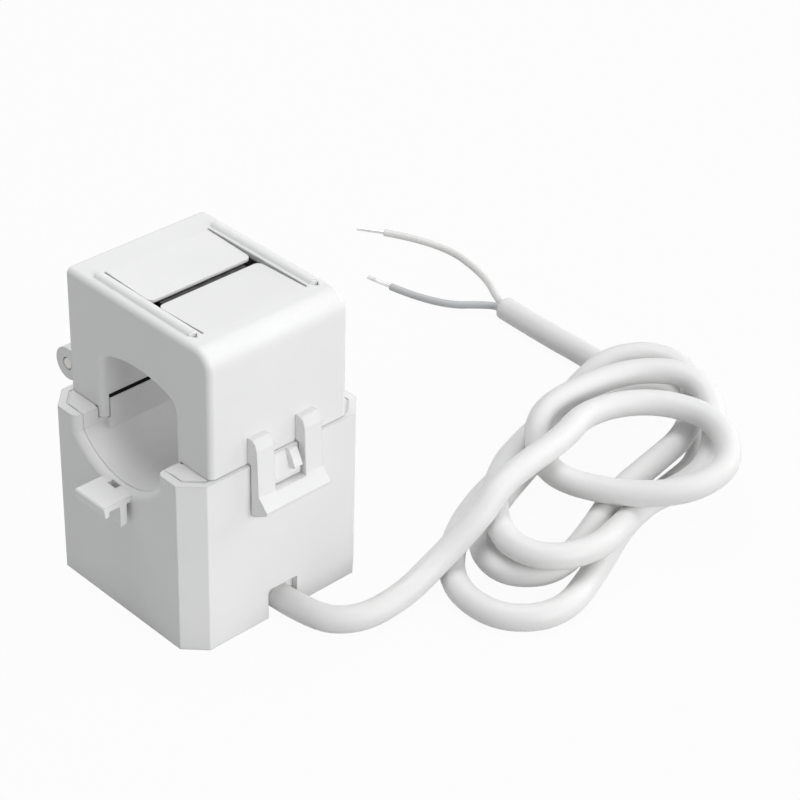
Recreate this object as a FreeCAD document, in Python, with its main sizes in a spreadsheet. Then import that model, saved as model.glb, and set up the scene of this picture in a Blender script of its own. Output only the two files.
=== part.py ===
import FreeCAD, Part
import math
import os
import re
import Sketcher
from FreeCAD import Placement, Rotation, Vector

# A split-core current transformer. A lower case holds the wound half of the
# core and a hinged cap holds the other half. A conductor lies in the bore
# between them. Front is -Y, the latch and the cable are on +X, the hinge is
# on -X. The origin is the centre of the case's underside.

os.makedirs("parts", exist_ok=True)
doc = FreeCAD.newDocument("current_transformer")
dims = doc.addObject("Spreadsheet::Sheet", "dims")

# Driving sizes in millimetres

sizes = {
    "base_width": 32.0,
    "base_depth": 33.0,
    "base_height": 28.0,
    "corner_cut": 3.0,
    "floor_thick": 1.2,
    "side_wall": 1.0,
    "end_wall": 1.3,
    "corner_wall": 1.1,
    "seam_gap": 0.2,
    "cover_thick": 1.3,
    "post_width": 2.8,
    "post_depth": 2.0,
    "mouth_lip": 0.9,
    "mouth_bow": 2.4,
    "mouth_depth": 6.85,
    "mouth_rim": 1.2,
    "trough_wall": 1.3,
    "bore_side": 8.0,
    "bore_bow": 12.0,
    "bore_corner": 2.2,
    "bore_rise": 10.35,
    "bore_round": 1.0,
    "liner_thick": 1.2,
    "liner_rise": 1.4,
    "liner_setback": 1.35,
    "ledge_left": 1.25,
    "ledge_right": 0.5,
    "ledge_end": 4.1,
    "crown_height": 9.65,
    "cap_wall": 1.0,
    "cap_end_wall": 1.2,
    "cap_gap": 0.1,
    "roof_thick": 0.9,
    "tunnel_wall": 1.2,
    "tunnel_lift": 2.1,
    "tab_reach": 1.55,
    "tab_depth": 1.15,
    "tab_gap": 0.2,
    "tab_swing": 0.15,
    "roof_edge": 3.0,
    "cap_corner": 0.9,
    "flap_border": 4.25,
    "flap_end_border": 3.4,
    "flap_tip": 0.78,
    "flap_drop": 0.35,
    "flap_thick": 0.45,
    "flap_slot": 0.3,
    "flap_corner": 1.0,
    "rib_width": 1.5,
    "rib_rise": 0.5,
    "rib_front_gap": 1.35,
    "rib_back_gap": 1.6,
    "hinge_out": 2.8,
    "hinge_rise": 1.6,
    "pin_radius": 1.0,
    "pin_grip": 0.01,
    "pin_play": 0.06,
    "ear_radius": 2.55,
    "ear_width": 3.0,
    "ear_setback": 2.1,
    "knuckle_radius": 2.4,
    "knuckle_gap": 0.25,
    "bail_half": 5.9,
    "bail_window": 2.75,
    "bail_gap": 0.2,
    "bail_thick": 1.3,
    "bail_drop": 4.6,
    "bail_bar": 3.7,
    "bail_flare": 2.0,
    "catch_half": 2.4,
    "catch_reach": 1.0,
    "catch_gap": 0.3,
    "wedge_left": 0.6,
    "wedge_right": 2.1,
    "wedge_reach": 1.85,
    "core_side_gap": 0.75,
    "core_bore_gap": 0.4,
    "core_lift": 0.675,
    "core_yoke": 5.0,
    "core_arch_gap": 2.45,
    "core_gap": 0.1,
    "core_fit": 0.1,
    "core_corner": 1.2,
    "core_inner_corner": 0.4,
    "bobbin_wall": 0.7,
    "bobbin_fit": 0.15,
    "bobbin_end_gap": 0.3,
    "flange_reach": 3.4,
    "winding_build": 2.0,
    "winding_fit": 0.05,
    "tape_thick": 0.2,
    "board_side_gap": 5.6,
    "board_back_gap": 1.2,
    "board_thick": 1.0,
    "board_foot": 1.6,
    "board_top_gap": 10.0,
    "lead_radius": 0.25,
    "cable_dia": 4.0,
    "cable_inside": 7.0,
    "clamp_fit": 0.1,
    "wire_dia": 1.3,
    "tip_length": 5.0,
    "notch_half": 2.7,
    "notch_top": 4.9,
    "saddle_left": 3.5,
    "saddle_right": 3.0,
    "saddle_reach": 4.7,
    "saddle_thick": 0.95,
    "hank_low": 7.0,
    "hank_middle": 11.5,
    "hank_high": 14.9,
}

# Places that follow from those sizes

places = {
    "bore_half": "base_width / 2 - bore_side",
    "bore_radius": "bore_half + bore_bow",
    "mouth_half": "bore_half + mouth_lip",
    "mouth_radius": "mouth_half + mouth_bow",
    "mouth_bottom": "base_height - mouth_depth",
    "saddle_top": "mouth_bottom - 0.15",
    "liner_top": "base_height + liner_rise",
    "liner_half": "cap_half - liner_setback",
    "cap_left": "base_width / 2 - ledge_left",
    "cap_right": "base_width / 2 - ledge_right",
    "cap_half": "base_depth / 2 - ledge_end",
    "bore_apex": "base_height + bore_rise",
    "cap_top": "bore_apex + crown_height",
    "tunnel_foot": "base_height + tunnel_lift",
    "tab_bottom": "base_height - tab_reach",
    "flap_root": "cap_left - flap_border",
    "flap_half": "cap_half - flap_end_border",
    "rib_front": "flap_half + rib_front_gap",
    "rib_back": "flap_half + rib_back_gap",
    "hinge_x": "base_width / 2 + hinge_out",
    "hinge_z": "base_height + hinge_rise",
    "ear_outer": "cap_half - ear_setback",
    "ear_inner": "ear_outer - ear_width",
    "bail_bar_top": "base_height - bail_drop",
    "bail_lip": "bail_bar_top - bail_bar",
    "core_outer": "cap_left - cap_wall - core_side_gap",
    "core_inner": "bore_half + tunnel_wall + core_bore_gap",
    "core_half": "(cap_half - cap_end_wall) * 0.67",
    "core_foot": "(floor_thick + mouth_bottom - trough_wall - core_yoke) / 2 + core_lift",
    "bobbin_half": "core_inner - bobbin_end_gap",
    "board_half": "base_width / 2 - side_wall - board_side_gap",
    "board_front": "base_depth / 2 - end_wall - board_back_gap - board_thick",
    "board_top": "base_height - board_top_gap",
}
for row, (alias, number) in enumerate(sizes.items(), start=1):
    dims.set("A%d" % row, alias)
    dims.set("B%d" % row, str(number))
    dims.setAlias("B%d" % row, alias)
doc.recompute()


def bound(text):
    """Write an expression out in the sheet's own sizes."""

    def spell(match):
        name = match.group(0)
        if name in places:
            return "(%s)" % bound(places[name])
        return "dims." + name if name in sizes else name

    return re.sub(r"[a-z]\w*", spell, str(text))


def value(text):
    """Work out an expression's present value from the sheet."""
    return float(dims.evalExpression(bound(text)))


def block(name, x, y, z):
    """A rectangular block between pairs of expressions."""
    solid = doc.addObject("Part::Box", name)
    for size, (low, high) in zip(("Length", "Width", "Height"), (x, y, z)):
        solid.setExpression(size, bound("(%s) - (%s)" % (high, low)))
    for axis, (low, high) in zip("xyz", (x, y, z)):
        solid.setExpression("Placement.Base." + axis, bound(low))
    return solid


def rod(name, along, centre, radius, start, end):
    """A round bar along X, Y or Z; centre gives the other two coordinates."""
    solid = doc.addObject("Part::Cylinder", name)
    turn = {"x": (Vector(0, 1, 0), 90), "y": (Vector(1, 0, 0), -90), "z": (Vector(0, 0, 1), 0)}[along]
    solid.Placement = Placement(Vector(), Rotation(*turn))
    solid.setExpression("Radius", bound(radius))
    solid.setExpression("Height", bound("(%s) - (%s)" % (end, start)))
    for axis, where in zip([a for a in "xyz" if a != along] + [along], list(centre) + [start]):
        solid.setExpression("Placement.Base." + axis, bound(where))
    return solid


def draw(sketch, points):
    """Draw a closed outline whose corners are held to expressions."""
    count = len(points)
    spots = [Vector(value(x), value(y), 0) for x, y in points]
    for i in range(count):
        sketch.addGeometry(Part.LineSegment(spots[i], spots[(i + 1) % count]), False)
    for i in range(count):
        sketch.addConstraint(Sketcher.Constraint("Coincident", i, 2, (i + 1) % count, 1))
    for i, (x, y) in enumerate(points):
        for letter, place, kind, text in (("x", spots[i].x, "DistanceX", x), ("y", spots[i].y, "DistanceY", y)):
            number = sketch.addConstraint(Sketcher.Constraint(kind, -1, 1, i, 1, place))
            sketch.renameConstraint(number, "%s%d" % (letter, i))
            sketch.setExpression("Constraints.%s%d" % (letter, i), bound(text))


def prism(name, along, points, start, end):
    """An outline pushed along one axis between two expressions."""
    sketch = doc.addObject("Sketcher::SketchObject", name + "_outline")
    turn = {
        "x": Rotation(Vector(0, 1, 0), Vector(0, 0, 1), Vector(1, 0, 0), "ZXY"),
        "y": Rotation(Vector(1, 0, 0), 90),
        "z": Rotation(),
    }[along]
    sketch.Placement = Placement(Vector(), turn)
    sketch.setExpression("Placement.Base." + along, bound(start))
    draw(sketch, points)
    solid = doc.addObject("Part::Extrusion", name)
    solid.Base = sketch
    solid.DirMode = "Custom"
    solid.Dir = {"x": Vector(1, 0, 0), "y": Vector(0, 1, 0), "z": Vector(0, 0, 1)}[along]
    solid.Solid = True
    solid.setExpression("LengthFwd", bound("(%s) - (%s)" % (end, start)))
    return solid


def fuse(name, *pieces):
    """Join several solids into one."""
    joined = doc.addObject("Part::MultiFuse", name)
    joined.Shapes = list(pieces)
    joined.Refine = True
    return joined


def cut(name, body, *tools):
    """Take the tools away from a body."""
    tool = tools[0] if len(tools) == 1 else fuse(name + "_tools", *tools)
    result = doc.addObject("Part::Cut", name)
    result.Base = body
    result.Tool = tool
    result.Refine = True
    return result


def common(name, *pieces):
    """Keep what several solids share."""
    shared = doc.addObject("Part::MultiCommon", name)
    shared.Shapes = list(pieces)
    return shared


def rounded(name, base, radius, chosen):
    """Round the chosen edges of a solid."""
    doc.recompute()
    size = value(radius)
    picks = [i + 1 for i, edge in enumerate(base.Shape.Edges) if chosen(edge)]
    if not picks:
        raise RuntimeError("no edge to round in " + name)
    result = doc.addObject("Part::Fillet", name)
    result.Base = base
    result.Edges = [(i, size, size) for i in picks]
    return result


def at(edge, x=None, y=None, z=None, slack=0.02):
    """Tell whether both ends and the middle of an edge share given coordinates."""
    middle = edge.valueAt((edge.FirstParameter + edge.LastParameter) / 2)
    spots = [vertex.Point for vertex in edge.Vertexes] + [middle]
    for axis, where in (("x", x), ("y", y), ("z", z)):
        if where is not None and any(abs(getattr(spot, axis) - where) > slack for spot in spots):
            return False
    return True


def finish(feature, node):
    """Name a finished sub-part."""
    feature.Label = node
    nodes.append(feature)
    return feature


nodes = []


def eight_sided(half_x, half_y, corner):
    """Corners of a rectangle whose four corners are cut off."""
    points = []
    for sx, sy, first in ((1, -1, "y"), (1, 1, "x"), (-1, 1, "y"), (-1, -1, "x")):
        near_x = ("%d * ((%s) - (%s))" % (sx, half_x, corner), "%d * (%s)" % (sy, half_y))
        near_y = ("%d * (%s)" % (sx, half_x), "%d * ((%s) - (%s))" % (sy, half_y, corner))
        points += [near_x, near_y] if first == "y" else [near_y, near_x]
    return points


# Lower case: a deep moulded box with cut corners, open at the top

outer_x = "base_width / 2"
outer_y = "base_depth / 2"
inner_x = "base_width / 2 - side_wall"
inner_y = "base_depth / 2 - end_wall"
inner_cut = "corner_cut + 1.4142 * corner_wall - side_wall - end_wall"
case_outer = prism("case_outer", "z", eight_sided(outer_x, outer_y, "corner_cut"), "0", "base_height")
case_inner = prism("case_inner", "z", eight_sided(inner_x, inner_y, inner_cut), "floor_thick", "base_height + 1")


def mouth(name, half, radius, start, end, top):
    """The rounded channel of the bore's lower half."""
    centre_z = "mouth_bottom + mouth_radius"
    sides = block(name + "_sides", ("-(%s)" % half, half), (start, end), ("mouth_bottom - 2", top))
    arc = rod(name + "_arc", "y", ("0", centre_z), radius, start, end)
    return common(name, sides, arc)


case_mouth = mouth("case_mouth", "mouth_half", "mouth_radius", "-base_depth", "base_depth", "base_height + 1")
cable_notch = block(
    "cable_notch",
    ("base_width / 2 - side_wall - 0.5", "base_width / 2 + 1"),
    ("-notch_half", "notch_half"),
    ("-1", "notch_top"),
)
cable_slot = block(
    "cable_slot",
    ("base_width / 2 - 7.5", "base_width / 2 + 1"),
    ("-cable_dia / 2 - 0.3", "cable_dia / 2 + 0.3"),
    ("-1", "floor_thick + 0.1"),
)
case_cut = cut("case_cut", case_outer, case_inner, case_mouth, cable_notch, cable_slot)


def is_mouth_rim(edge):
    spots = [vertex.Point for vertex in edge.Vertexes]
    inside = all(abs(spot.x) < value("mouth_half") + 0.05 and spot.z > value("mouth_bottom") - 0.05 for spot in spots)
    level = at(edge, z=value("base_height"))
    return inside and not level and (at(edge, y=-value("base_depth / 2")) or at(edge, y=value("base_depth / 2")))


case_hollow = rounded("case_hollow", case_cut, "mouth_rim", is_mouth_rim)

# Inside the case: posts that carry the cover, feet under the core, board rails

case_extras = []
for number, (sx, sy) in enumerate(((-1, -1), (1, -1), (1, 1), (-1, 1))):
    low, high = "base_width / 2 - corner_cut + 0.4 - post_width", "base_width / 2 - corner_cut + 0.4"
    x_pair = (low, high) if sx > 0 else ("-(%s)" % high, "-(%s)" % low)
    y_inner = "base_depth / 2 - end_wall - post_depth"
    y_outer = "base_depth / 2 - end_wall + 0.1"
    y_pair = (y_inner, y_outer) if sy > 0 else ("-(%s)" % y_outer, "-(%s)" % y_inner)
    post_top = "base_height - cover_thick - 0.05"
    case_extras.append(block("cover_post_%d" % number, x_pair, y_pair, ("floor_thick - 0.1", post_top)))
    foot_x = ("core_outer - 2.2", "core_outer - 0.5") if sx > 0 else ("0.5 - core_outer", "2.2 - core_outer")
    foot_y = ("cable_dia / 2 + 2.7", "core_half - 0.5") if sy > 0 else ("0.5 - core_half", "-cable_dia / 2 - 2.7")
    case_extras.append(block("core_foot_%d" % number, foot_x, foot_y, ("floor_thick - 0.1", "core_foot")))
for side, sign in (("left", -1), ("right", 1)):
    low, high = "board_half - 0.5", "board_half + 0.9"
    x_pair = (low, high) if sign > 0 else ("-(%s)" % high, "-(%s)" % low)
    rail_y = ("board_front - 0.8", inner_y + " + 0.1")
    rail = block("rail_" + side, x_pair, rail_y, ("floor_thick - 0.1", "board_top - 3"))
    low, high = "board_half - 1", "board_half + 0.1"
    x_pair = (low, high) if sign > 0 else ("-(%s)" % high, "-(%s)" % low)
    slot = block(
        "rail_slot_" + side,
        x_pair,
        ("board_front - 0.05", "board_front + board_thick + 0.05"),
        ("board_foot - 0.05", "board_top"),
    )
    case_extras.append(cut("rail_cut_" + side, rail, slot))

# Catch on the latch side: a low ramp pad with a taller wedge on it

catch_x = "base_width / 2"
catch_foot = "bail_bar_top + catch_gap"
pad_points = [
    (catch_x + " - 0.3", catch_foot),
    (catch_x + " + catch_reach - 0.1", catch_foot),
    (catch_x + " + catch_reach", catch_foot + " + 0.7"),
    (catch_x, "base_height - 0.4"),
    (catch_x + " - 0.3", "base_height - 0.4"),
]
catch_pad = prism("catch_pad", "y", pad_points, "-catch_half", "catch_half")
wedge_points = [
    (catch_x + " - 0.3", "base_height - 2.7"),
    (catch_x + " + wedge_reach - 0.25", "base_height - 2.7"),
    (catch_x + " + wedge_reach", "base_height - 2.4"),
    (catch_x + " + 0.6", "base_height"),
    (catch_x + " - 0.3", "base_height"),
]
catch_wedge = prism("catch_wedge", "y", wedge_points, "wedge_left", "wedge_right")

# Hinge knuckle in the middle of the left wall, on a gusset

knuckle_reach = "ear_inner - knuckle_gap"
knuckle_axis = ("-hinge_x", "hinge_z")
knuckle = rod("knuckle", "y", knuckle_axis, "knuckle_radius", "-(%s)" % knuckle_reach, knuckle_reach)
gusset_points = [
    ("0.3 - base_width / 2", "base_height - 6"),
    ("0.3 - base_width / 2", "base_height - 0.05"),
    ("-hinge_x", "base_height - 0.05"),
    ("-hinge_x - knuckle_radius * 0.88", "hinge_z - knuckle_radius * 0.47"),
    ("-base_width / 2 - 0.6", "base_height - 5.6"),
]
gusset = prism("gusset", "y", gusset_points, "-(%s)" % knuckle_reach, knuckle_reach)
knuckle_bore = rod("knuckle_bore", "y", knuckle_axis, "pin_radius + pin_play", "-base_depth", "base_depth")

# Tie saddle: a small bridge on the front wall for a cable tie

saddle_points = [
    ("1 - base_depth / 2", "saddle_top - saddle_thick"),
    ("-base_depth / 2 - 0.7", "saddle_top - saddle_thick"),
    ("-base_depth / 2 - 0.7", "saddle_top - 4.1"),
    ("-base_depth / 2 - 1", "saddle_top - 4.4"),
    ("-base_depth / 2 - 1.9", "saddle_top - 4.4"),
    ("-base_depth / 2 - 1.9", "saddle_top - saddle_thick"),
    ("1.05 - saddle_reach - base_depth / 2", "saddle_top - saddle_thick"),
    ("0.9 - saddle_reach - base_depth / 2", "saddle_top - 1.8"),
    ("0.3 - saddle_reach - base_depth / 2", "saddle_top - 1.8"),
    ("-saddle_reach - base_depth / 2", "saddle_top - 0.25"),
    ("0.2 - saddle_reach - base_depth / 2", "saddle_top"),
    ("1 - base_depth / 2", "saddle_top"),
]
saddle = prism("saddle", "x", saddle_points, "-saddle_left", "saddle_right")
saddle_hole = block(
    "saddle_hole",
    ("-1.7", "0.1"),
    ("-base_depth / 2 - 0.35", "0.6 - base_depth / 2"),
    ("saddle_top - 2", "saddle_top + 1"),
)

case_body = fuse("case_body", case_hollow, *case_extras, catch_pad, catch_wedge, knuckle, gusset, saddle)
case_bored = cut("case_bored", case_body, knuckle_bore, saddle_hole)


finish(case_bored, "base_shell")

# Case cover: a flush plate with the trough of the bore let into it

lid_x = inner_x + " - seam_gap"
lid_y = inner_y + " - seam_gap * 0.75"
lid_cut = inner_cut + " + 0.1"
plate = prism("cover_plate", "z", eight_sided(lid_x, lid_y, lid_cut), "base_height - cover_thick", "base_height")
trough_end = "base_depth / 2 - end_wall - 0.03"
trough_outer = mouth(
    "trough_outer",
    "mouth_half + trough_wall",
    "mouth_radius + trough_wall",
    "-(%s)" % trough_end,
    trough_end,
    "base_height",
)
liners = []
liner_outside = "bore_half + liner_thick"
for side, low, high in (("left", "-(%s)" % liner_outside, "-bore_half"), ("right", "bore_half", liner_outside)):
    liners.append(block("liner_" + side, (low, high), ("-liner_half", "liner_half"), ("base_height - 2", "liner_top")))
trough_inner = mouth("trough_inner", "bore_half", "mouth_radius", "-base_depth", "base_depth", "liner_top + 1")
trough_front = mouth("trough_front", "mouth_half", "mouth_radius", "-base_depth", "-(cap_half - 1)", "base_height + 1")
trough_back = mouth("trough_back", "mouth_half", "mouth_radius", "cap_half - 1", "base_depth", "base_height + 1")
windows = []
notches = []
for side, sign in (("left", -1), ("right", 1)):
    low, high = "core_inner - core_fit", "core_outer + core_fit"
    x_pair = (low, high) if sign > 0 else ("-(%s)" % high, "-(%s)" % low)
    windows.append(
        block("pole_window_" + side, x_pair, ("-core_half - core_fit", "core_half + core_fit"), ("mouth_bottom - trough_wall - 1", "base_height + 1"))
    )
    low, high = "bore_half - 0.1", "bore_half + liner_thick + tab_gap + tab_swing"
    x_pair = (low, high) if sign > 0 else ("-(%s)" % high, "-(%s)" % low)
    for end, y_low, y_high in (
        ("front", "-cap_half - 0.15", "tab_depth + tab_gap - cap_half"),
        ("back", "cap_half - tab_depth - tab_gap", "cap_half + 0.15"),
    ):
        notches.append(
            block("tab_notch_%s_%s" % (side, end), x_pair, (y_low, y_high), ("tab_bottom - tab_gap", "base_height + 3"))
        )
cover_solid = fuse("cover_solid", plate, trough_outer, *liners)
cover_cut = cut("cover_cut", cover_solid, trough_inner, trough_front, trough_back, *windows, *notches)
finish(cover_cut, "base_cover")


# Cap: a hinged moulded box with the bore's arch through it

cap_foot = "base_height + cap_gap"
cap_block = block("cap_block", ("-cap_left", "cap_right"), ("-cap_half", "cap_half"), (cap_foot, "cap_top"))


def is_roof_edge(edge):
    return at(edge, x=value("cap_right"), z=value("cap_top"))


cap_rounded = rounded("cap_rounded", cap_block, "roof_edge", is_roof_edge)


def is_cap_corner(edge):
    return at(edge, x=value("cap_right"), y=-value("cap_half")) or at(edge, x=value("cap_right"), y=value("cap_half"))


cap_outer = rounded("cap_outer", cap_rounded, "cap_corner", is_cap_corner)
cap_hollow = block(
    "cap_hollow",
    ("cap_wall - cap_left", "cap_right - cap_wall"),
    ("cap_end_wall - cap_half", "cap_half - cap_end_wall"),
    (cap_foot + " - 1", "cap_top - roof_thick"),
)
cap_box = cut("cap_box", cap_outer, cap_hollow)


def arch(name, half, radius, corner, start, end, foot):
    """The channel of the bore's upper half: a shallow arch on rounded shoulders."""
    sides = block(name + "_sides", ("-(%s)" % half, half), (start, end), (foot, "bore_apex + 5"))
    arc = rod(name + "_arc", "y", ("0", "bore_apex - bore_radius"), radius, start, end)
    square = common(name + "_square", sides, arc)

    def is_shoulder(edge):
        high = all(vertex.Point.z > value(foot) + 0.5 for vertex in edge.Vertexes)
        return high and (at(edge, x=value(half)) or at(edge, x=-value(half))) and edge.Length > value("cap_half")

    return rounded(name, square, corner, is_shoulder)


tunnel_outer = arch(
    "tunnel_outer",
    "bore_half + tunnel_wall",
    "bore_radius + tunnel_wall",
    "bore_corner + tunnel_wall",
    "0.2 - cap_half",
    "cap_half - 0.2",
    "tunnel_foot",
)
tabs = []
for side, low, high in (("left", "-(bore_half + liner_thick)", "0.3 - bore_half"), ("right", "bore_half - 0.3", "bore_half + liner_thick")):
    for end, y_low, y_high in (("front", "-cap_half", "tab_depth - cap_half"), ("back", "cap_half - tab_depth", "cap_half")):
        tabs.append(block("tab_%s_%s" % (side, end), (low, high), (y_low, y_high), ("tab_bottom", "tunnel_foot + 1")))
bore = arch("bore", "bore_half", "bore_radius", "bore_corner", "-base_depth", "base_depth", "tab_bottom - 3")
cap_solid = fuse("cap_solid", cap_box, tunnel_outer, *tabs)
cap_bored = cut("cap_bored", cap_solid, bore)


def is_bore_edge(edge):
    if not (at(edge, y=value("cap_half")) or at(edge, y=-value("cap_half"))):
        return False
    half = value("bore_half")
    spots = [vertex.Point for vertex in edge.Vertexes]
    inside = all(abs(spot.x) < half + 0.05 and spot.z < value("bore_apex") + 0.05 for spot in spots)
    return inside and not at(edge, z=value("tab_bottom"))


cap_arched = rounded("cap_arched", cap_bored, "bore_round", is_bore_edge)

# Roof springs: two leaf flaps between narrow slots press on the core

roof_opening = block(
    "roof_opening",
    ("-flap_root", "flap_root"),
    ("-flap_half - flap_slot", "flap_half + flap_slot"),
    ("cap_top - roof_thick - 0.1", "cap_top + 1"),
)
flaps = []
for side, sign in (("left", "-1"), ("right", "1")):
    points = [
        (sign + " * (flap_root + 0.1)", "cap_top"),
        (sign + " * flap_tip", "cap_top - flap_drop"),
        (sign + " * flap_tip", "cap_top - flap_drop - flap_thick"),
        (sign + " * (flap_root + 0.1)", "cap_top - flap_thick - 0.2"),
    ]
    flap = prism("flap_blank_" + side, "y", points, "-flap_half", "flap_half")

    def is_tip_corner(edge, sign=float(sign)):
        tip = sign * value("flap_tip")
        half = value("flap_half")
        return at(edge, x=tip, y=half) or at(edge, x=tip, y=-half)

    flaps.append(rounded("flap_" + side, flap, "flap_corner", is_tip_corner))

rib_radius = "(rib_width * rib_width / 4 + rib_rise * rib_rise) / (2 * rib_rise)"
rib_axis = "cap_top + rib_rise - (%s)" % rib_radius
ribs = [
    rod("rib_at_front", "x", ("-rib_front", rib_axis), rib_radius, "0.1 - flap_root", "flap_root - 0.7"),
    rod("rib_at_back", "x", ("rib_back", rib_axis), rib_radius, "-flap_root - 0.1", "flap_root - 0.1"),
]
pockets = []
for name, centre, start in (("front", "-rib_front", "flap_root - 0.6"), ("back", "rib_back", "flap_root")):
    points = [
        (start, "%s - 0.65" % centre),
        (start + " + 0.9", centre),
        (start, "%s + 0.65" % centre),
    ]
    pockets.append(prism("pocket_" + name, "z", points, "cap_top - 0.5", "cap_top + 1"))

# Latch bail: two arms and a flared bar that springs over the catch

bail_in = "base_width / 2 + bail_gap"
bail_out = "base_width / 2 + bail_gap + bail_thick"
bail_points = [
    ("cap_right - 0.3", cap_foot + " + 0.1"),
    (bail_in, cap_foot + " + 0.1"),
    (bail_in, "bail_lip + 0.5"),
    (bail_in + " + 0.4", "bail_lip"),
    (bail_out + " + bail_flare - 0.2", "bail_lip + 1.6"),
    (bail_out + " + bail_flare", "bail_lip + 2.1"),
    (bail_out + " + 0.2", "bail_lip + 3.9"),
    (bail_out + " - 0.1", "base_height + 2.9"),
    (bail_out + " - 0.45", "base_height + 3.9"),
    (bail_in + " + 0.2", "base_height + 4.3"),
    ("cap_right - 0.3", "base_height + 4.3"),
]
bail_blank = prism("bail_blank", "y", bail_points, "-bail_half", "bail_half")
bail_opening = block(
    "bail_opening",
    ("cap_right", "base_width / 2 + 6"),
    ("-bail_window", "bail_window"),
    ("bail_bar_top", "base_height + 6"),
)
bail = cut("bail", bail_blank, bail_opening)

# Hinge ears at both ends of the cap's left wall

ears = []
for end, start, stop in (("front", "-ear_outer", "-ear_inner"), ("back", "ear_inner", "ear_outer")):
    ears.append(rod("ear_" + end, "y", knuckle_axis, "ear_radius", start, stop))
    x_pair = ("-hinge_x", "cap_wall / 2 - cap_left")
    ears.append(block("ear_arm_" + end, x_pair, (start, stop), ("base_height + 0.4", "hinge_z + ear_radius")))
ear_bore = rod("ear_bore", "y", knuckle_axis, "pin_radius + pin_grip", "-base_depth", "base_depth")

cap_open = cut("cap_open", cap_arched, roof_opening, *pockets)
cap_body = fuse("cap_body", cap_open, *flaps, *ribs, bail, *ears)
finish(cut("cap_shell", cap_body, ear_bore), "cap_shell")

# Plates that hold the cap's half of the core in place

for side, sign in (("left", -1), ("right", 1)):
    low, high = "bore_half + tunnel_wall + 0.1", "cap_%s - cap_wall - 0.1" % side
    x_pair = (low, high) if sign > 0 else ("-(%s)" % high, "-(%s)" % low)
    plate = block(
        "retainer_plate_" + side,
        x_pair,
        ("cap_end_wall + 0.1 - cap_half", "cap_half - cap_end_wall - 0.1"),
        (cap_foot + " + 0.05", cap_foot + " + 1.25"),
    )
    low, high = "bore_half", "core_outer + core_fit"
    x_pair = (low, high) if sign > 0 else ("-(%s)" % high, "-(%s)" % low)
    window = block(
        "retainer_window_" + side,
        x_pair,
        ("-core_half - core_fit", "core_half + core_fit"),
        ("base_height - 1", "base_height + 3"),
    )
    finish(cut("core_retainer_" + side, plate, window), "core_retainer_" + side)


def body(node):
    """A new body and its origin planes by role."""
    made = doc.addObject("PartDesign::Body", node)
    doc.recompute()
    planes = {feature.Role: feature for feature in made.Origin.OriginFeatures}
    return made, planes


def sketch_on(made, plane, name, points):
    """An outline on one of a body's own origin planes."""
    sketch = made.newObject("Sketcher::SketchObject", name)
    sketch.AttachmentSupport = [(plane, "")]
    sketch.MapMode = "FlatFace"
    draw(sketch, points)
    return sketch


def pad(made, sketch, name, length):
    """Material added on both sides of a sketch."""
    feature = made.newObject("PartDesign::Pad", name)
    feature.Profile = sketch
    if hasattr(feature, "SideType"):
        feature.SideType = "Symmetric"
    else:
        feature.Midplane = True
    feature.setExpression("Length", bound(length))
    doc.recompute()
    return feature


# Ferrite core halves: two U shapes that meet face to face

def core_half(node, foot, yoke_face, inner_face):
    made, planes = body(node)
    points = [
        ("-core_outer", foot),
        ("-core_outer", yoke_face),
        ("core_outer", yoke_face),
        ("core_outer", foot),
        ("core_inner", foot),
        ("core_inner", inner_face),
        ("-core_inner", inner_face),
        ("-core_inner", foot),
    ]
    sketch = sketch_on(made, planes["XZ_Plane"], node + "_outline", points)
    blank = pad(made, sketch, node + "_pad", "2 * core_half")

    def along_y(edge, x, z):
        return at(edge, x=value(x), z=value(z)) or at(edge, x=-value(x), z=value(z))

    def soften(base, name, radius, x, z):
        chosen = ["Edge%d" % (i + 1) for i, edge in enumerate(base.Shape.Edges) if along_y(edge, x, z)]
        soft = made.newObject("PartDesign::Fillet", node + name)
        soft.Base = (base, chosen)
        soft.setExpression("Radius", bound(radius))
        made.Tip = soft
        doc.recompute()
        return soft

    outside = soften(blank, "_corners", "core_corner", "core_outer", yoke_face)
    soften(outside, "_inner_corners", "core_inner_corner", "core_inner", inner_face)
    return finish(made, node)


core_half("lower_core", "base_height", "core_foot", "core_foot + core_yoke")
core_top = "cap_top - roof_thick - 0.05"
core_half("upper_core", "base_height + core_gap", core_top, "bore_apex + tunnel_wall + core_arch_gap")
doc.recompute()

# Bobbin: two moulded halves that close round the yoke

yoke_low = "core_foot"
yoke_high = "core_foot + core_yoke"
yoke_mid = "core_foot + core_yoke / 2"
hole_half = "core_half + bobbin_fit"
barrel_half = "core_half + bobbin_fit + bobbin_wall"
flange_half = "core_half + flange_reach"
bobbin_barrel = block(
    "bobbin_barrel",
    ("0.7 - bobbin_half", "bobbin_half - 0.7"),
    ("-(%s)" % barrel_half, barrel_half),
    (yoke_low + " - bobbin_fit - bobbin_wall", yoke_high + " + bobbin_fit + bobbin_wall"),
)
flanges = []
for side, low, high in (("left", "-bobbin_half", "0.7 - bobbin_half"), ("right", "bobbin_half - 0.7", "bobbin_half")):
    blank = block(
        "flange_blank_" + side,
        (low, high),
        ("-(%s)" % flange_half, flange_half),
        (yoke_low + " - flange_reach", yoke_high + " + flange_reach"),
    )

    def is_flange_corner(edge):
        spot = edge.valueAt((edge.FirstParameter + edge.LastParameter) / 2)
        return len(edge.Vertexes) == 2 and at(edge, y=spot.y, z=spot.z) and abs(spot.y) > 5

    flanges.append(rounded("flange_" + side, blank, "1.5", is_flange_corner))
bobbin_hole = block(
    "bobbin_hole",
    ("-bobbin_half - 1", "bobbin_half + 1"),
    ("-(%s)" % hole_half, hole_half),
    (yoke_low + " - bobbin_fit", yoke_high + " + bobbin_fit"),
)
bobbin_whole = cut("bobbin_whole", fuse("bobbin_solid", bobbin_barrel, *flanges), bobbin_hole)
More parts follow.
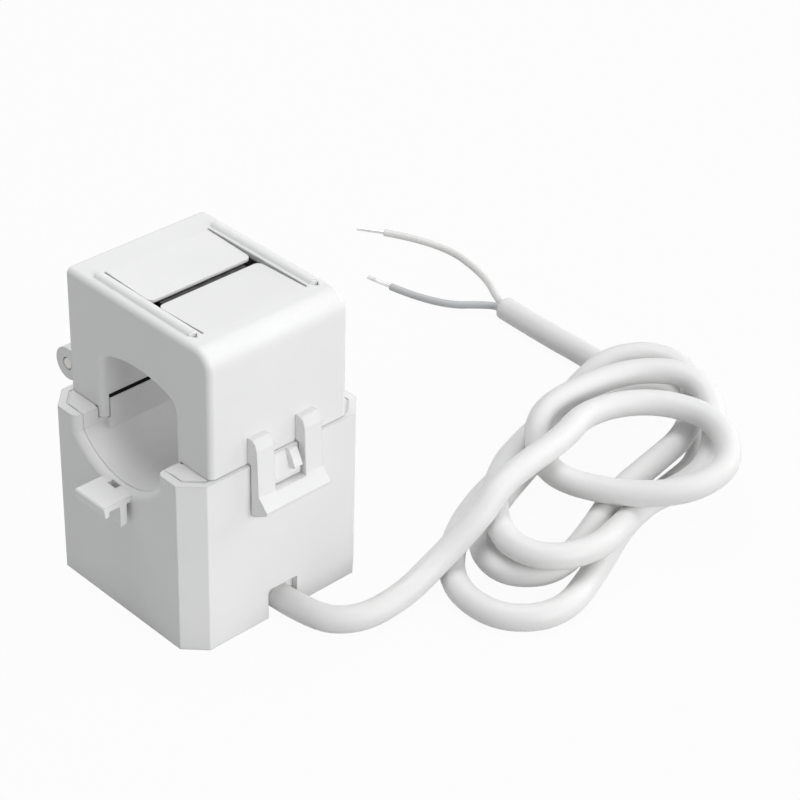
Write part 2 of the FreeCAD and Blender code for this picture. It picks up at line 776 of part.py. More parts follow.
for half, low, high in (("upper", yoke_mid + " + 0.02", "core_foot + 20"), ("lower", "0", yoke_mid + " - 0.02")):
    room = block("bobbin_room_" + half, ("-20", "20"), ("-20", "20"), (low, high))
    finish(common("bobbin_" + half, bobbin_whole, room), "bobbin_" + half)

# Secondary winding and the tape round it


def ring(node, inner, outer, inner_round, outer_round, half_length):
    """A rounded rectangular ring round the yoke, given by its growth from the barrel."""
    rings = []
    for part, grow, corner in (("inner", inner, inner_round), ("outer", outer, outer_round)):
        reach = half_length if part == "outer" else half_length + " + 1"
        blank = block(
            "%s_%s_blank" % (node, part),
            ("-(%s)" % reach, reach),
            ("-(%s) - (%s)" % (barrel_half, grow), "%s + (%s)" % (barrel_half, grow)),
            (
                "core_foot - bobbin_fit - bobbin_wall - (%s)" % grow,
                "core_foot + core_yoke + bobbin_fit + bobbin_wall + (%s)" % grow,
            ),
        )

        def lies_along_x(edge):
            first, last = edge.Vertexes[0].Point, edge.Vertexes[-1].Point
            return abs(first.x - last.x) > 1

        rings.append(rounded("%s_%s" % (node, part), blank, corner, lies_along_x) if corner else blank)
    return finish(cut(node, rings[1], rings[0]), node)


ring("winding", "winding_fit", "winding_build", None, "2.0", "bobbin_half - 0.8")
ring("winding_tape", "winding_build + 0.02", "winding_build + tape_thick", "2.0", "2.2", "bobbin_half - 0.85")

# Circuit board on edge behind the winding, with the burden and a surge diode

board, planes = body("board_blank")
board_points = [
    ("-board_half", "board_foot"),
    ("board_half", "board_foot"),
    ("board_half", "board_top"),
    ("-board_half", "board_top"),
]
board_sketch = sketch_on(board, planes["XZ_Plane"], "board_outline", board_points)
board_sketch.AttachmentOffset = Placement(Vector(), Rotation())
board_sketch.setExpression("AttachmentOffset.Base.z", bound("-board_front - board_thick / 2"))
board_pad = pad(board, board_sketch, "board_pad", "board_thick")
board.Tip = board_pad
doc.recompute()
pads_at = {
    "a": ("2 - board_half", "core_foot + core_yoke / 2 + 0.9"),
    "b": ("board_half - 2", "core_foot + core_yoke / 2 + 0.9"),
    "c": ("-2.2", "board_foot + 0.8"),
    "d": ("0.8", "board_foot + 0.8"),
}
board_holes = [
    rod("board_hole_" + name, "y", centre, "lead_radius + 0.05", "board_front - 1", "board_front + board_thick + 1")
    for name, centre in pads_at.items()
]
finish(cut("board_drilled", board, *board_holes), "circuit_board")

resistor = block(
    "burden_resistor",
    ("4.4 - board_half", "10.7 - board_half"),
    ("board_front - 0.65", "board_front - 0.02"),
    ("board_foot + 8", "board_foot + 11.2"),
)
finish(resistor, "burden_resistor")
diode = block(
    "surge_diode",
    ("board_half - 6.4", "board_half - 2.2"),
    ("board_front - 1.7", "board_front - 0.02"),
    ("board_foot + 2.2", "board_foot + 4.7"),
)
finish(diode, "surge_diode")

# Winding ends that pass through the board, and their solder

for side in ("a", "b"):
    start = barrel_half + " + winding_build + tape_thick + 0.02"
    pin = rod("coil_pin_" + side, "y", pads_at[side], "lead_radius", start, "board_front + board_thick + 0.5")
    finish(pin, "coil_lead_" + side)
for name, (x, z) in pads_at.items():
    dome = doc.addObject("Part::Cone", "solder_dome_" + name)
    dome.Placement = Placement(Vector(), Rotation(Vector(1, 0, 0), -90))
    dome.setExpression("Radius1", bound("lead_radius + 0.55"))
    dome.setExpression("Radius2", bound("lead_radius + 0.05"))
    dome.Height = 0.6
    for axis, where in (("x", x), ("y", "board_front + board_thick"), ("z", z)):
        dome.setExpression("Placement.Base." + axis, bound(where))
    core = rod("solder_core_" + name, "y", (x, z), "lead_radius + 0.01", "board_front", "board_front + 5")
    finish(cut("solder_" + name, dome, core), "solder_" + name)

# Cable clamp: a saddle on the case floor that grips the jacket

clamp_block = block(
    "clamp_block",
    ("base_width / 2 - cable_inside + 1.4", "base_width / 2 - side_wall - 0.1"),
    ("-cable_dia / 2 - 2.2", "cable_dia / 2 + 2.2"),
    ("floor_thick", "cable_dia + 2"),
)
clamp_bore = rod("clamp_bore", "x", ("0", "cable_dia / 2"), "cable_dia / 2 + clamp_fit", "0", "base_width")
clamp_slot = block(
    "clamp_slot",
    ("0", "base_width"),
    ("-cable_dia / 2 - clamp_fit", "cable_dia / 2 + clamp_fit"),
    ("-1", "cable_dia / 2"),
)
finish(cut("cable_clamp", clamp_block, clamp_bore, clamp_slot), "cable_clamp")


def tube(node, route, radius):
    """A bent round bar: straight runs joined by tangent arcs."""
    spots = [Vector(*spot) for spot in route]
    radii = []
    edges = []
    here = spots[0]
    length = 0.0
    for i in range(1, len(spots) - 1):
        back = (spots[i - 1] - spots[i]).normalize()
        ahead = (spots[i + 1] - spots[i]).normalize()
        turn = math.pi - back.getAngle(ahead)
        run = min((spots[i - 1] - spots[i]).Length, (spots[i + 1] - spots[i]).Length)
        reach = 0.45 * run
        bend = reach / math.tan(turn / 2)
        start = spots[i] + back * reach
        stop = spots[i] + ahead * reach
        inward = (back + ahead).normalize()
        middle = spots[i] + inward * (bend / math.cos(turn / 2) - bend)
        edges.append(Part.LineSegment(here, start).toShape())
        edges.append(Part.Arc(start, middle, stop).toShape())
        length += (start - here).Length + bend * turn
        radii.append(round(bend, 1))
        here = stop
    edges.append(Part.LineSegment(here, spots[-1]).toShape())
    length += (spots[-1] - here).Length
    path = Part.Wire(edges)
    first = (spots[1] - spots[0]).normalize()
    section = Part.Wire([Part.makeCircle(radius, spots[0], first)])
    solid = path.makePipeShell([section], True, True)
    wanted = math.pi * radius ** 2 * length
    print("%s: bend radii %s mm, length %.1f mm, volume %.4f of section times length" % (
        node, radii, length, solid.Volume / wanted))
    feature = doc.addObject("Part::Feature", node)
    feature.Shape = solid
    return finish(feature, node)


# Two thin conductors from the cable's end to the board, inside the case

wire_radius = value("wire_dia / 2")
board_face = value("board_front") - 0.02
jacket_end = value("base_width / 2 - cable_inside")
board_pin = value("board_foot + 0.8")
for node, side, target in (("inner_wire_a", -0.72, -2.2), ("inner_wire_b", 0.72, 0.8)):
    route = [
        (jacket_end - 0.2, side, 2.0),
        (jacket_end - 2.6, side * 1.6, 2.1),
        (target, board_face - 5.6, board_pin),
        (target, board_face, board_pin),
    ]
    tube(node, route, wire_radius)

# The cable: a bent lead from the notch, a loose hank and a short tail

cable_radius = value("cable_dia / 2")
rest = cable_radius
right_face = value("base_width / 2")
back_face = value("base_depth / 2")
lead_route = [
    (jacket_end, 0.0, rest),
    (right_face + 5.6, 0.0, rest),
    (right_face + 10.9, back_face - 11.7, rest + 0.05),
    (right_face + 11.3, back_face - 3.5, rest + 0.5),
    (right_face + 10.9, back_face + 3.1, rest + 2.6),
    (right_face + 12.2, back_face + 10.8, rest + 8.2),
]
lead = tube("cable_lead", lead_route, cable_radius)
tail_route = [
    (right_face - 7.4, back_face + 62.7, rest),
    (right_face - 15.2, back_face + 63.8, rest),
    (right_face - 24.2, back_face + 63.7, rest),
    (right_face - 35.0, back_face + 64.3, rest),
]
tail = tube("cable_tail", tail_route, cable_radius)

hank_tiers = {
    "low": [
        (14.2, 2.7),
        (22.5, 0.5),
        (29.4, 2.1),
        (31.2, 8.5),
        (30.4, 43.5),
        (27.0, 51.9),
        (15.0, 63.8),
        (-2.0, 73.3),
        (-7.8, 73.5),
        (-10.6, 69.0),
        (-11.8, 62.5),
        (-5.6, 37.5),
        (-2.4, 27.5),
        (4.2, 14.9),
    ],
    "middle": [
        (10.5, 8.7),
        (20.0, 8.7),
        (30.0, 39.5),
        (29.2, 47.5),
        (25.0, 54.0),
        (11.0, 65.5),
        (4.0, 64.7),
        (-6.8, 56.5),
        (-2.0, 35.9),
        (0.2, 29.3),
    ],
    "high": [
        (10.6, 9.1),
        (14.6, 10.1),
        (15.0, 56.9),
        (0.4, 51.7),
        (-2.6, 41.5),
        (-1.6, 35.5),
    ],
}
tiers = []
for tier, points in hank_tiers.items():
    corners = [("base_width / 2 + %s" % x, "base_depth / 2 + %s" % y) for x, y in points]
    blank = prism("hank_blank_" + tier, "z", corners, "0", "hank_" + tier)

    def is_tier_top(edge, tier=tier):
        return at(edge, z=value("hank_" + tier))

    tiers.append(rounded("hank_tier_" + tier, blank, "1.8", is_tier_top))
hank_soft = fuse("hank_soft", *tiers)
finish(cut("cable_hank", hank_soft, lead, tail), "cable_hank")

# Stripped far end: two conductors with tinned tips, lying on the floor

floor_rest = wire_radius
end_x = tail_route[-1][0] - 0.08
end_y = tail_route[-1][1]
end_routes = {
    "a": [
        (end_x, end_y + 0.7, rest),
        (end_x - 2.2, end_y + 0.82, rest - 0.1),
        (end_x - 11.4, end_y + 6.8, floor_rest),
        (end_x - 24.6, end_y + 9.8, floor_rest),
        (end_x - 33.9, end_y + 3.8, floor_rest),
    ],
    "b": [
        (end_x, end_y - 0.7, rest),
        (end_x - 2.2, end_y - 0.58, rest - 0.1),
        (end_x - 9.8, end_y - 6.6, floor_rest),
        (end_x - 19.4, end_y - 8.2, floor_rest),
    ],
}
for side, route in end_routes.items():
    tube("conductor_" + side, route, wire_radius)
    last = Vector(*route[-1])
    onward = (last - Vector(*route[-2])).normalize()
    tip = doc.addObject("Part::Feature", "tinned_tip_" + side)
    tip.Shape = Part.makeCylinder(0.35, value("tip_length"), last + onward * 0.02, onward)
    finish(tip, "tinned_tip_" + side)

# Hinge pin: a plain metal pin held in the cap's ears

pin_blank = rod("pin_blank", "y", knuckle_axis, "pin_radius", "0.05 - ear_outer", "ear_outer - 0.05")


def is_pin_end(edge):
    return at(edge, y=value("ear_outer - 0.05")) or at(edge, y=-value("ear_outer - 0.05"))


doc.recompute()
pin_ends = [i + 1 for i, edge in enumerate(pin_blank.Shape.Edges) if is_pin_end(edge)]
hinge_pin = doc.addObject("Part::Chamfer", "hinge_pin_ends")
hinge_pin.Base = pin_blank
hinge_pin.Edges = [(number, 0.2, 0.2) for number in pin_ends]
finish(hinge_pin, "hinge_pin")

# Check every object, then write one file for each sub-part

doc.recompute()
for item in doc.Objects:
    if "Invalid" in item.State or "Error" in item.State:
        raise RuntimeError("%s did not build: %s" % (item.Name, item.State))
for item in nodes:
    shape = item.Shape
    if shape.isNull() or not shape.isValid() or not shape.Solids:
        raise RuntimeError("%s has no valid solid" % item.Label)
    if len(shape.Solids) != 1:
        print("note: %s has %d solids" % (item.Label, len(shape.Solids)))
for item in nodes:
    item.Shape.exportStep("parts/%s.step" % item.Label)
    box = item.Shape.BoundBox
    print("%-20s %9.1f mm3  x %.1f..%.1f  y %.1f..%.1f  z %.1f..%.1f" % (
        item.Label, item.Shape.Volume, box.XMin, box.XMax, box.YMin, box.YMax, box.ZMin, box.ZMax))
print("wrote %d sub-parts" % len(nodes))
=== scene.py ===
import math

import bmesh
import bpy
from mathutils import Matrix, Vector


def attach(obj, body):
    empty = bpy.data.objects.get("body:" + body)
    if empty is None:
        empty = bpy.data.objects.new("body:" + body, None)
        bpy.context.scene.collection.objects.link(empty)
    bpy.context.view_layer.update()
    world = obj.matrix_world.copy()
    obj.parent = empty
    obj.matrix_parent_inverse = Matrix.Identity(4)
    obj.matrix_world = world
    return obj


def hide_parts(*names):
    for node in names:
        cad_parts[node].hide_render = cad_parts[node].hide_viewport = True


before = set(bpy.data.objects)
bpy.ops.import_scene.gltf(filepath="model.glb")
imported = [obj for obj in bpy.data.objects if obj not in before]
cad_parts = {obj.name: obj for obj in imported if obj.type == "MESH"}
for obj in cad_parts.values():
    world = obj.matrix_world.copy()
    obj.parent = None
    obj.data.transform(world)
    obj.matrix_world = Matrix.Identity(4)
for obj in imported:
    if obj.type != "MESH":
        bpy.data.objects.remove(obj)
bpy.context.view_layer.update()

# Camera
# The picture is taken from the front right, looking down by about 34 degrees.
# Its place comes from a fit to the straight edges of the case.

azimuth = math.radians(45.61)
elevation = math.radians(33.57)
roll = math.radians(1.7)
toward_camera = Vector(
    (
        math.sin(azimuth) * math.cos(elevation),
        -math.cos(azimuth) * math.cos(elevation),
        math.sin(elevation),
    )
)
level_right = (-toward_camera).cross(Vector((0, 0, 1))).normalized()
level_up = level_right.cross(-toward_camera)
right = level_right * math.cos(roll) + level_up * math.sin(roll)
up = level_up * math.cos(roll) - level_right * math.sin(roll)
middle = Vector((0, 0, 0.025))
distance = 0.35685
shift_right = 0.02716
shift_up = 0.00267
place = middle + toward_camera * distance + right * shift_right + up * shift_up
lens = bpy.data.cameras.new("camera")
lens.lens = 113.43
lens.sensor_width = 36
lens.clip_start = 0.01
lens.clip_end = 20
camera = bpy.data.objects.new("camera", lens)
bpy.context.scene.collection.objects.link(camera)
turn = Matrix((right, up, toward_camera)).transposed()
camera.matrix_world = Matrix.Translation(place) @ turn.to_4x4()
bpy.context.scene.camera = camera
bpy.context.scene.view_settings.view_transform = "Standard"

# Floor and light
# A pale floor under even light, with a broad soft lamp above, one on the
# latch side and one behind. The camera and clear reflections see the
# surroundings as plain white.


def node_material(name):
    material = bpy.data.materials.new(name)
    material.use_nodes = True
    tree = material.node_tree
    return material, tree, tree.nodes["Principled BSDF"]


def white_to_eye(tree):
    """One where the camera, a reflection or a view through glass looks."""
    rays = tree.nodes.new("ShaderNodeLightPath")
    seen = tree.nodes.new("ShaderNodeMath")
    seen.operation = "MAXIMUM"
    tree.links.new(rays.outputs["Is Camera Ray"], seen.inputs[0])
    tree.links.new(rays.outputs["Is Glossy Ray"], seen.inputs[1])
    both = tree.nodes.new("ShaderNodeMath")
    both.operation = "MAXIMUM"
    tree.links.new(seen.outputs[0], both.inputs[0])
    tree.links.new(rays.outputs["Is Transmission Ray"], both.inputs[1])
    return both.outputs[0]


world = bpy.data.worlds.new("studio")
world.use_nodes = True
bpy.context.scene.world = world
sky = world.node_tree
ambient = sky.nodes["Background"]
ambient.inputs["Color"].default_value = (0.97, 0.985, 1.0, 1)
ambient.inputs["Strength"].default_value = 0.34
backdrop = sky.nodes.new("ShaderNodeBackground")
backdrop.inputs["Color"].default_value = (1, 1, 1, 1)
backdrop.inputs["Strength"].default_value = 1.0
chosen = sky.nodes.new("ShaderNodeMixShader")
sky.links.new(white_to_eye(sky), chosen.inputs[0])
sky.links.new(ambient.outputs[0], chosen.inputs[1])
sky.links.new(backdrop.outputs[0], chosen.inputs[2])
sky.links.new(chosen.outputs[0], sky.nodes["World Output"].inputs["Surface"])

floor_half = 3.0
floor_mesh = bpy.data.meshes.new("floor")
shape = bmesh.new()
bmesh.ops.create_grid(shape, x_segments=1, y_segments=1, size=floor_half)
shape.to_mesh(floor_mesh)
shape.free()
floor = bpy.data.objects.new("floor", floor_mesh)
bpy.context.scene.collection.objects.link(floor)
paper, tree, shader = node_material("floor_paper")
shader.inputs["Base Color"].default_value = (0.58, 0.58, 0.58, 1)
shader.inputs["Roughness"].default_value = 0.9
shader.inputs["Specular IOR Level"].default_value = 0.1
glow = tree.nodes.new("ShaderNodeEmission")
glow.inputs["Color"].default_value = (1, 1, 1, 1)
lifted = tree.nodes.new("ShaderNodeMixShader")
weight = tree.nodes.new("ShaderNodeMath")
weight.operation = "MULTIPLY"
weight.inputs[1].default_value = 0.95
tree.links.new(white_to_eye(tree), weight.inputs[0])
tree.links.new(weight.outputs[0], lifted.inputs[0])
tree.links.new(shader.outputs[0], lifted.inputs[1])
tree.links.new(glow.outputs[0], lifted.inputs[2])
tree.links.new(lifted.outputs[0], tree.nodes["Material Output"].inputs["Surface"])
floor.data.materials.append(paper)

lamp_width = 1.0
lamps_aim = Vector((0, 0.02, 0.02))
for name, spot, watts in (
    ("top_lamp", (-0.3, 0.08, 1.6), 11.6),
    ("right_lamp", (1.45, 0.1, 0.6), 12.3),
    ("back_lamp", (0.5, 1.5, 0.7), 7.5),
):
    lamp_data = bpy.data.lights.new(name, "AREA")
    lamp_data.shape = "DISK"
    lamp_data.size = lamp_width
    lamp_data.energy = watts
    lamp = bpy.data.objects.new(name, lamp_data)
    bpy.context.scene.collection.objects.link(lamp)
    lamp.location = spot
    toward_part = lamps_aim - Vector(spot)
    lamp.rotation_euler = toward_part.to_track_quat("-Z", "Y").to_euler()

# Cable
# A round two-core lead with a soft white jacket, 4 mm thick. It leaves the
# case through a notch, runs along the bench and lies in a loose hank.

cable_radius = 0.002
lead_route = [
    (0.009, 0, 0.002),
    (0.0216, 0, 0.002),
    (0.0269, 0.0048, 0.00205),
    (0.0273, 0.013, 0.0025),
    (0.0269, 0.0196, 0.0046),
    (0.0282, 0.0273, 0.0102),
]
climb = [(0.0274, 0.0323, 0.0137)]
# Places on the hank, four to a turn: where the cable is, and its heading.
hank_places = [
    (0.0256, 0.0472, 0.0135, 128),
    (0.0328, 0.069, 0.0124, 8),
    (0.0451, 0.0609, 0.0112, -73),
    (0.0292, 0.044, 0.0091, -164),
    (0.0174, 0.0537, 0.0129, 89),
    (0.0251, 0.0747, 0.0131, 28),
    (0.0382, 0.061, 0.005, -113),
    (0.0399, 0.0303, 0.0074, -127),
    (0.017, 0.0487, 0.0084, 92),
    (0.0154, 0.0796, 0.01, 32),
    (0.0324, 0.0609, 0.0066, -98),
    (0.0344, 0.0271, 0.0032, -162),
    (0.0188, 0.0461, 0.0043, 106),
    (0.0186, 0.0779, 0.0054, 28),
    (0.0342, 0.0637, 0.002, -104),
    (0.04, 0.0199, 0.002, -156),
    (0.0148, 0.0487, 0.002, 96),
]
descent = [(0.009, 0.0625, 0.002), (0.0121, 0.0721, 0.002)]
tail_route = [
    (0.0086, 0.0792, 0.002),
    (0.0008, 0.0803, 0.002),
    (-0.0082, 0.0802, 0.002),
    (-0.019, 0.0808, 0.002),
]
points_between = 4
pull = 1.15


def part_turn(start, finish):
    """Points of the quarter of a turn that leads from one place to the next."""
    reach = pull * math.hypot(finish[0] - start[0], finish[1] - start[1])
    heading = math.radians(start[3])
    arrival = math.radians(finish[3])
    points = []
    for step in range(points_between):
        share = step / points_between
        late = 3 * share**2 - 2 * share**3
        leaving = reach * (share**3 - 2 * share**2 + share)
        arriving = reach * (share**3 - share**2)
        across = start[0] + late * (finish[0] - start[0])
        across += leaving * math.cos(heading) + arriving * math.cos(arrival)
        deep = start[1] + late * (finish[1] - start[1])
        deep += leaving * math.sin(heading) + arriving * math.sin(arrival)
        points.append((across, deep, start[2] + late * (finish[2] - start[2])))
    return points


cable_route = lead_route + climb
for start, finish in zip(hank_places, hank_places[1:]):
    cable_route += part_turn(start, finish)
cable_route += [hank_places[-1][:3]] + descent + tail_route


def smooth_cord(name, route, radius, steps, around):
    """One curve that runs smoothly by the points of a route."""
    line = bpy.data.curves.new(name, "CURVE")
    line.dimensions = "3D"
    spline = line.splines.new("NURBS")
    # The points carry the radius, because the curve's box grows by it.
    spline.points.add(len(route) - 1)
    for point, spot in zip(spline.points, route):
        point.co = (*spot, 1)
        point.radius = radius
    spline.order_u = 3
    spline.use_endpoint_u = True
    line.resolution_u = steps
    line.bevel_depth = 1
    line.bevel_resolution = around
    line.use_fill_caps = True
    cord = bpy.data.objects.new(name, line)
    bpy.context.scene.collection.objects.link(cord)
    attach(cord, "case")
    return cord


def grain(tree, shader, scale, depth):
    """A fine moulded grain in the surface, read from the object's own place."""
    place = tree.nodes.new("ShaderNodeTexCoord")
    noise = tree.nodes.new("ShaderNodeTexNoise")
    noise.inputs["Scale"].default_value = scale
    noise.inputs["Detail"].default_value = 3.0
    bump = tree.nodes.new("ShaderNodeBump")
    bump.inputs["Strength"].default_value = depth
    bump.inputs["Distance"].default_value = 0.0001
    tree.links.new(place.outputs["Object"], noise.inputs["Vector"])
    tree.links.new(noise.outputs["Fac"], bump.inputs["Height"])
    tree.links.new(bump.outputs["Normal"], shader.inputs["Normal"])
    return place


def mottled(tree, place, target, scale, dark, light):
    """A slow drift between two colours or two levels of gloss."""
    noise = tree.nodes.new("ShaderNodeTexNoise")
    noise.inputs["Scale"].default_value = scale
    noise.inputs["Detail"].default_value = 2.0
    ramp = tree.nodes.new("ShaderNodeValToRGB")
    ramp.color_ramp.elements[0].position = 0.35
    ramp.color_ramp.elements[0].color = (*dark, 1)
    ramp.color_ramp.elements[1].position = 0.65
    ramp.color_ramp.elements[1].color = (*light, 1)
    tree.links.new(place.outputs["Object"], noise.inputs["Vector"])
    tree.links.new(noise.outputs["Fac"], ramp.inputs["Fac"])
    tree.links.new(ramp.outputs["Color"], target)


cable = smooth_cord("output_cable", cable_route, cable_radius, 8, 9)
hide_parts("cable_lead", "cable_hank", "cable_tail")
jacket, tree, shader = node_material("soft_white_jacket")
place = grain(tree, shader, 900, 0.25)
mottled(tree, place, shader.inputs["Roughness"], 60, (0.42, 0.42, 0.42), (0.54, 0.54, 0.54))
mottled(tree, place, shader.inputs["Base Color"], 35, (0.765, 0.765, 0.755), (0.79, 0.79, 0.785))
shader.inputs["Specular IOR Level"].default_value = 0.4
shader.inputs["Subsurface Weight"].default_value = 0.5
shader.inputs["Subsurface Radius"].default_value = (1, 1, 1)
shader.inputs["Subsurface Scale"].default_value = 0.0015
cable.data.materials.append(jacket)

# Conductors
# Two thin insulated wires leave the stripped end of the cable, one white and
# one light grey. Each runs on inside the jacket, and its far end is tinned.

end_x = -0.01908
end_y = 0.0808
wire_radius = 0.00065
white_tint = (0.82, 0.82, 0.80)
grey_tint = (0.55, 0.56, 0.57)
conductor_routes = {
    "a": [
        (end_x + 0.0095, end_y + 0.00017, 0.002),
        (end_x, end_y + 0.0007, 0.002),
        (end_x - 0.0022, end_y + 0.00082, 0.0019),
        (end_x - 0.0114, end_y + 0.0068, wire_radius),
        (end_x - 0.0246, end_y + 0.0089, wire_radius),
        (end_x - 0.0339, end_y + 0.0038, wire_radius),
    ],
    "b": [
        (end_x + 0.0095, end_y - 0.00123, 0.002),
        (end_x, end_y - 0.0007, 0.002),
        (end_x - 0.0022, end_y - 0.00058, 0.0019),
        (end_x - 0.0098, end_y - 0.0066, wire_radius),
        (end_x - 0.0194, end_y - 0.0082, wire_radius),
    ],
}


def insulation(name, tint):
    """The smooth plastic skin of a thin wire."""
    skin, tree, shader = node_material(name)
    shader.inputs["Roughness"].default_value = 0.36
    place = grain(tree, shader, 1400, 0.15)
    darker = tuple(0.93 * part for part in tint)
    mottled(tree, place, shader.inputs["Base Color"], 120, darker, tint)
    return skin


for side, tint in (("a", white_tint), ("b", grey_tint)):
    wire = smooth_cord("conductor_wire_" + side, conductor_routes[side], wire_radius, 10, 6)
    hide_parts("conductor_" + side)
    wire.data.materials.append(insulation("insulation_" + side, tint))

# Case plastic
# Every part of the case is one white engineering plastic with a fine satin
# grain from the mould. Its edges are slightly soft.

plastic, tree, shader = node_material("satin_white_plastic")
place = grain(tree, shader, 1100, 0.12)
soft_edge = tree.nodes.new("ShaderNodeBevel")
soft_edge.samples = 4
soft_edge.inputs["Radius"].default_value = 0.0003
tree.links.new(soft_edge.outputs["Normal"], tree.nodes["Bump"].inputs["Normal"])
mottled(tree, place, shader.inputs["Base Color"], 45, (0.80, 0.80, 0.795), (0.83, 0.83, 0.825))
mottled(tree, place, shader.inputs["Roughness"], 90, (0.40, 0.40, 0.40), (0.48, 0.48, 0.48))
shader.inputs["Specular IOR Level"].default_value = 0.45


def coat(material, *nodes):
    """Gives these CAD pieces a finish."""
    for node in nodes:
        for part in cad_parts[node].material_slots:
            part.material = material


coat(plastic, "base_shell", "base_cover", "cap_shell", "cable_clamp")
coat(plastic, "core_retainer_left", "core_retainer_right")

# Bore gap shade strip
# A black line shows inside the bore, on the top edge of the left liner. A thin
# black strip there is painted shade for the gap where the cap closes on the liner.

shade_strip_low = (-0.00915, -0.01105, 0.0294)
shade_strip_high = (-0.00803, 0.01105, 0.03)
shade_strip_shape = bmesh.new()
bmesh.ops.create_cube(shade_strip_shape, size=1.0)
for corner in shade_strip_shape.verts:
    corner.co = [
        low if side < 0 else high
        for side, low, high in zip(corner.co, shade_strip_low, shade_strip_high)
    ]
bmesh.ops.bevel(
    shade_strip_shape,
    geom=list(shade_strip_shape.edges),
    offset=0.00008,
    offset_type="OFFSET",
    segments=2,
    profile=0.5,
    affect="EDGES",
    material=-1,
)
shade_strip_mesh = bpy.data.meshes.new("bore_gap_painted_shade")
shade_strip_shape.to_mesh(shade_strip_mesh)
shade_strip_shape.free()
gap_shade_strip = bpy.data.objects.new("bore_gap_painted_shade", shade_strip_mesh)
bpy.context.scene.collection.objects.link(gap_shade_strip)
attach(gap_shade_strip, "case")
# Near-black colour of the strip: painted shade for the gap on the liner's top edge.
shade_black, tree, shader = node_material("painted_gap_shade_black")
place = grain(tree, shader, 4000, 0.5)
mottled(tree, place, shader.inputs["Base Color"], 900, (0.006, 0.006, 0.006), (0.012, 0.012, 0.012))
shader.inputs["Roughness"].default_value = 0.9
shader.inputs["Specular IOR Level"].default_value = 0.1
gap_shade_strip.data.materials.append(shade_black)

# Cover seam
# A thin bead of white glue is assumed to hold the cover in the case. It closes
# the seam a little below the top, on both sides of the bore.

seam_bore_side = 0.0106
seam_low = 0.0270
seam_high = 0.0278
# Half width, half depth and corner cut of the case wall and of the cover.
wall_side = (0.01502, 0.01522, 0.00226)
cover_side = (0.01478, 0.01503, 0.00236)


def seam_line(side, half_width, half_depth, corner):
    """The seam's corners in plan on one side of the bore, from back to front."""
    return [
        (side * seam_bore_side, half_depth),
        (side * (half_width - corner), half_depth),
        (side * half_width, half_depth - corner),
        (side * half_width, corner - half_depth),
        (side * (half_width - corner), -half_depth),
        (side * seam_bore_side, -half_depth),
    ]


seam_shape = bmesh.new()
for side in (-1, 1):
    outline = seam_line(side, *wall_side) + seam_line(side, *cover_side)[::-1]
    corners = [seam_shape.verts.new((*spot, seam_low)) for spot in outline]
    seam_shape.faces.new(corners)
raised = bmesh.ops.extrude_face_region(seam_shape, geom=list(seam_shape.faces))
tops = [part for part in raised["geom"] if isinstance(part, bmesh.types.BMVert)]
bmesh.ops.translate(seam_shape, vec=(0, 0, seam_high - seam_low), verts=tops)
bmesh.ops.recalc_face_normals(seam_shape, faces=list(seam_shape.faces))
seam_mesh = bpy.data.meshes.new("cover_seam")
seam_shape.to_mesh(seam_mesh)
seam_shape.free()
seam = bpy.data.objects.new("cover_seam", seam_mesh)
bpy.context.scene.collection.objects.link(seam)
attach(seam, "case")
glue, tree, shader = node_material("white_glue")
place = grain(tree, shader, 800, 0.4)
mottled(tree, place, shader.inputs["Base Color"], 300, (0.74, 0.74, 0.735), (0.80, 0.80, 0.795))
mottled(tree, place, shader.inputs["Roughness"], 200, (0.30, 0.30, 0.30), (0.42, 0.42, 0.42))
seam.data.materials.append(glue)

# Core
# Two halves of dark sintered ferrite. Their pole faces are ground, so the
# surface is a fine dark grey with a dull gloss.

ferrite, tree, shader = node_material("sintered_ferrite")
place = grain(tree, shader, 2200, 0.35)
mottled(tree, place, shader.inputs["Base Color"], 700, (0.022, 0.022, 0.024), (0.05, 0.05, 0.053))
mottled(tree, place, shader.inputs["Roughness"], 300, (0.42, 0.42, 0.42), (0.62, 0.62, 0.62))
coat(ferrite, "lower_core", "upper_core")

# Hinge pin
# The cap turns on a plain pin of drawn steel. Drawing leaves fine lines along
# its length.

steel, tree, shader = node_material("drawn_steel")
shader.inputs["Metallic"].default_value = 1.0
place = grain(tree, shader, 1800, 0.2)
along = tree.nodes.new("ShaderNodeMapping")
along.inputs["Scale"].default_value = (1, 0.04, 1)
tree.links.new(place.outputs["Object"], along.inputs["Vector"])
tree.links.new(along.outputs["Vector"], tree.nodes["Noise Texture"].inputs["Vector"])
mottled(tree, place, shader.inputs["Base Color"], 400, (0.42, 0.41, 0.40), (0.54, 0.53, 0.51))
mottled(tree, place, shader.inputs["Roughness"], 500, (0.28, 0.28, 0.28), (0.40, 0.40, 0.40))
coat(steel, "hinge_pin")

# Bobbin, winding and tape
# A nylon bobbin carries many turns of enamelled copper wire, closed with one
# layer of yellow polyester tape.

nylon, tree, shader = node_material("bobbin_nylon")
place = grain(tree, shader, 1300, 0.2)
mottled(tree, place, shader.inputs["Base Color"], 200, (0.60, 0.585, 0.54), (0.68, 0.665, 0.62))
mottled(tree, place, shader.inputs["Roughness"], 160, (0.45, 0.45, 0.45), (0.58, 0.58, 0.58))
coat(nylon, "bobbin_upper", "bobbin_lower")

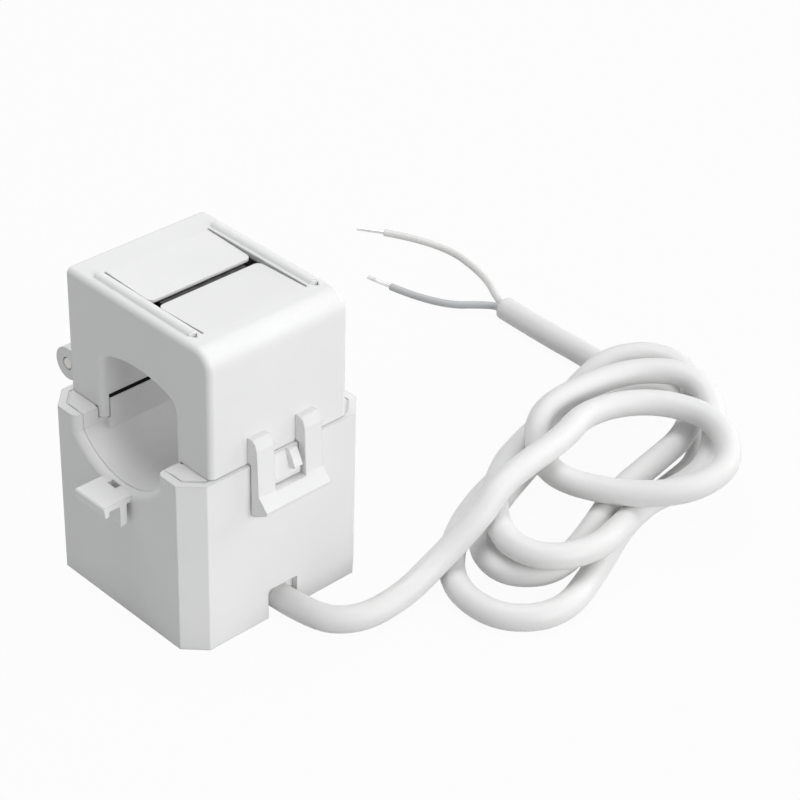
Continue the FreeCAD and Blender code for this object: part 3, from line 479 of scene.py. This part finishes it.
copper, tree, shader = node_material("enamelled_copper")
shader.inputs["Metallic"].default_value = 0.9
place = tree.nodes.new("ShaderNodeTexCoord")
turns = tree.nodes.new("ShaderNodeTexWave")
turns.bands_direction = "X"
turns.inputs["Scale"].default_value = 1250
turns.inputs["Distortion"].default_value = 0.6
ridge = tree.nodes.new("ShaderNodeBump")
ridge.inputs["Strength"].default_value = 0.7
ridge.inputs["Distance"].default_value = 0.0001
tree.links.new(place.outputs["Object"], turns.inputs["Vector"])
tree.links.new(turns.outputs["Fac"], ridge.inputs["Height"])
tree.links.new(ridge.outputs["Normal"], shader.inputs["Normal"])
mottled(tree, place, shader.inputs["Base Color"], 150, (0.42, 0.15, 0.05), (0.60, 0.24, 0.09))
mottled(tree, place, shader.inputs["Roughness"], 260, (0.24, 0.24, 0.24), (0.38, 0.38, 0.38))
coat(copper, "winding", "coil_lead_a", "coil_lead_b")

film, tree, shader = node_material("polyester_tape")
place = grain(tree, shader, 500, 0.3)
mottled(tree, place, shader.inputs["Base Color"], 90, (0.72, 0.50, 0.08), (0.82, 0.60, 0.13))
mottled(tree, place, shader.inputs["Roughness"], 130, (0.26, 0.26, 0.26), (0.40, 0.40, 0.40))
coat(film, "winding_tape")

# Board and its parts
# A small glass-fibre board with green lacquer, a burden resistor and a
# surge diode, with tin solder on the joints at its back.

lacquer, tree, shader = node_material("board_lacquer")
place = grain(tree, shader, 1600, 0.2)
weave = tree.nodes.new("ShaderNodeTexChecker")
weave.inputs["Scale"].default_value = 2600
tree.links.new(place.outputs["Object"], weave.inputs["Vector"])
tree.links.new(weave.outputs["Fac"], tree.nodes["Bump"].inputs["Height"])
mottled(tree, place, shader.inputs["Base Color"], 300, (0.012, 0.10, 0.045), (0.02, 0.15, 0.07))
mottled(tree, place, shader.inputs["Roughness"], 200, (0.26, 0.26, 0.26), (0.40, 0.40, 0.40))
coat(lacquer, "circuit_board")

package, tree, shader = node_material("component_body")
place = grain(tree, shader, 2400, 0.3)
mottled(tree, place, shader.inputs["Base Color"], 700, (0.018, 0.018, 0.02), (0.035, 0.035, 0.038))
mottled(tree, place, shader.inputs["Roughness"], 500, (0.42, 0.42, 0.42), (0.56, 0.56, 0.56))
coat(package, "burden_resistor", "surge_diode")

tin, tree, shader = node_material("tin_solder")
shader.inputs["Metallic"].default_value = 1.0
place = grain(tree, shader, 2600, 0.25)
mottled(tree, place, shader.inputs["Base Color"], 900, (0.62, 0.62, 0.61), (0.74, 0.74, 0.73))
mottled(tree, place, shader.inputs["Roughness"], 900, (0.22, 0.22, 0.22), (0.36, 0.36, 0.36))
coat(tin, "solder_a", "solder_b", "solder_c", "solder_d", "tinned_tip_a", "tinned_tip_b")

# Wires inside the case
# Two thin insulated wires, coloured like the far ends, run from the cable's
# end to the board.

for node, tint in (("inner_wire_a", white_tint), ("inner_wire_b", grey_tint)):
    coat(insulation(node + "_insulation", tint), node)

# Update
# The view layer is brought up to date.

bpy.context.view_layer.update()
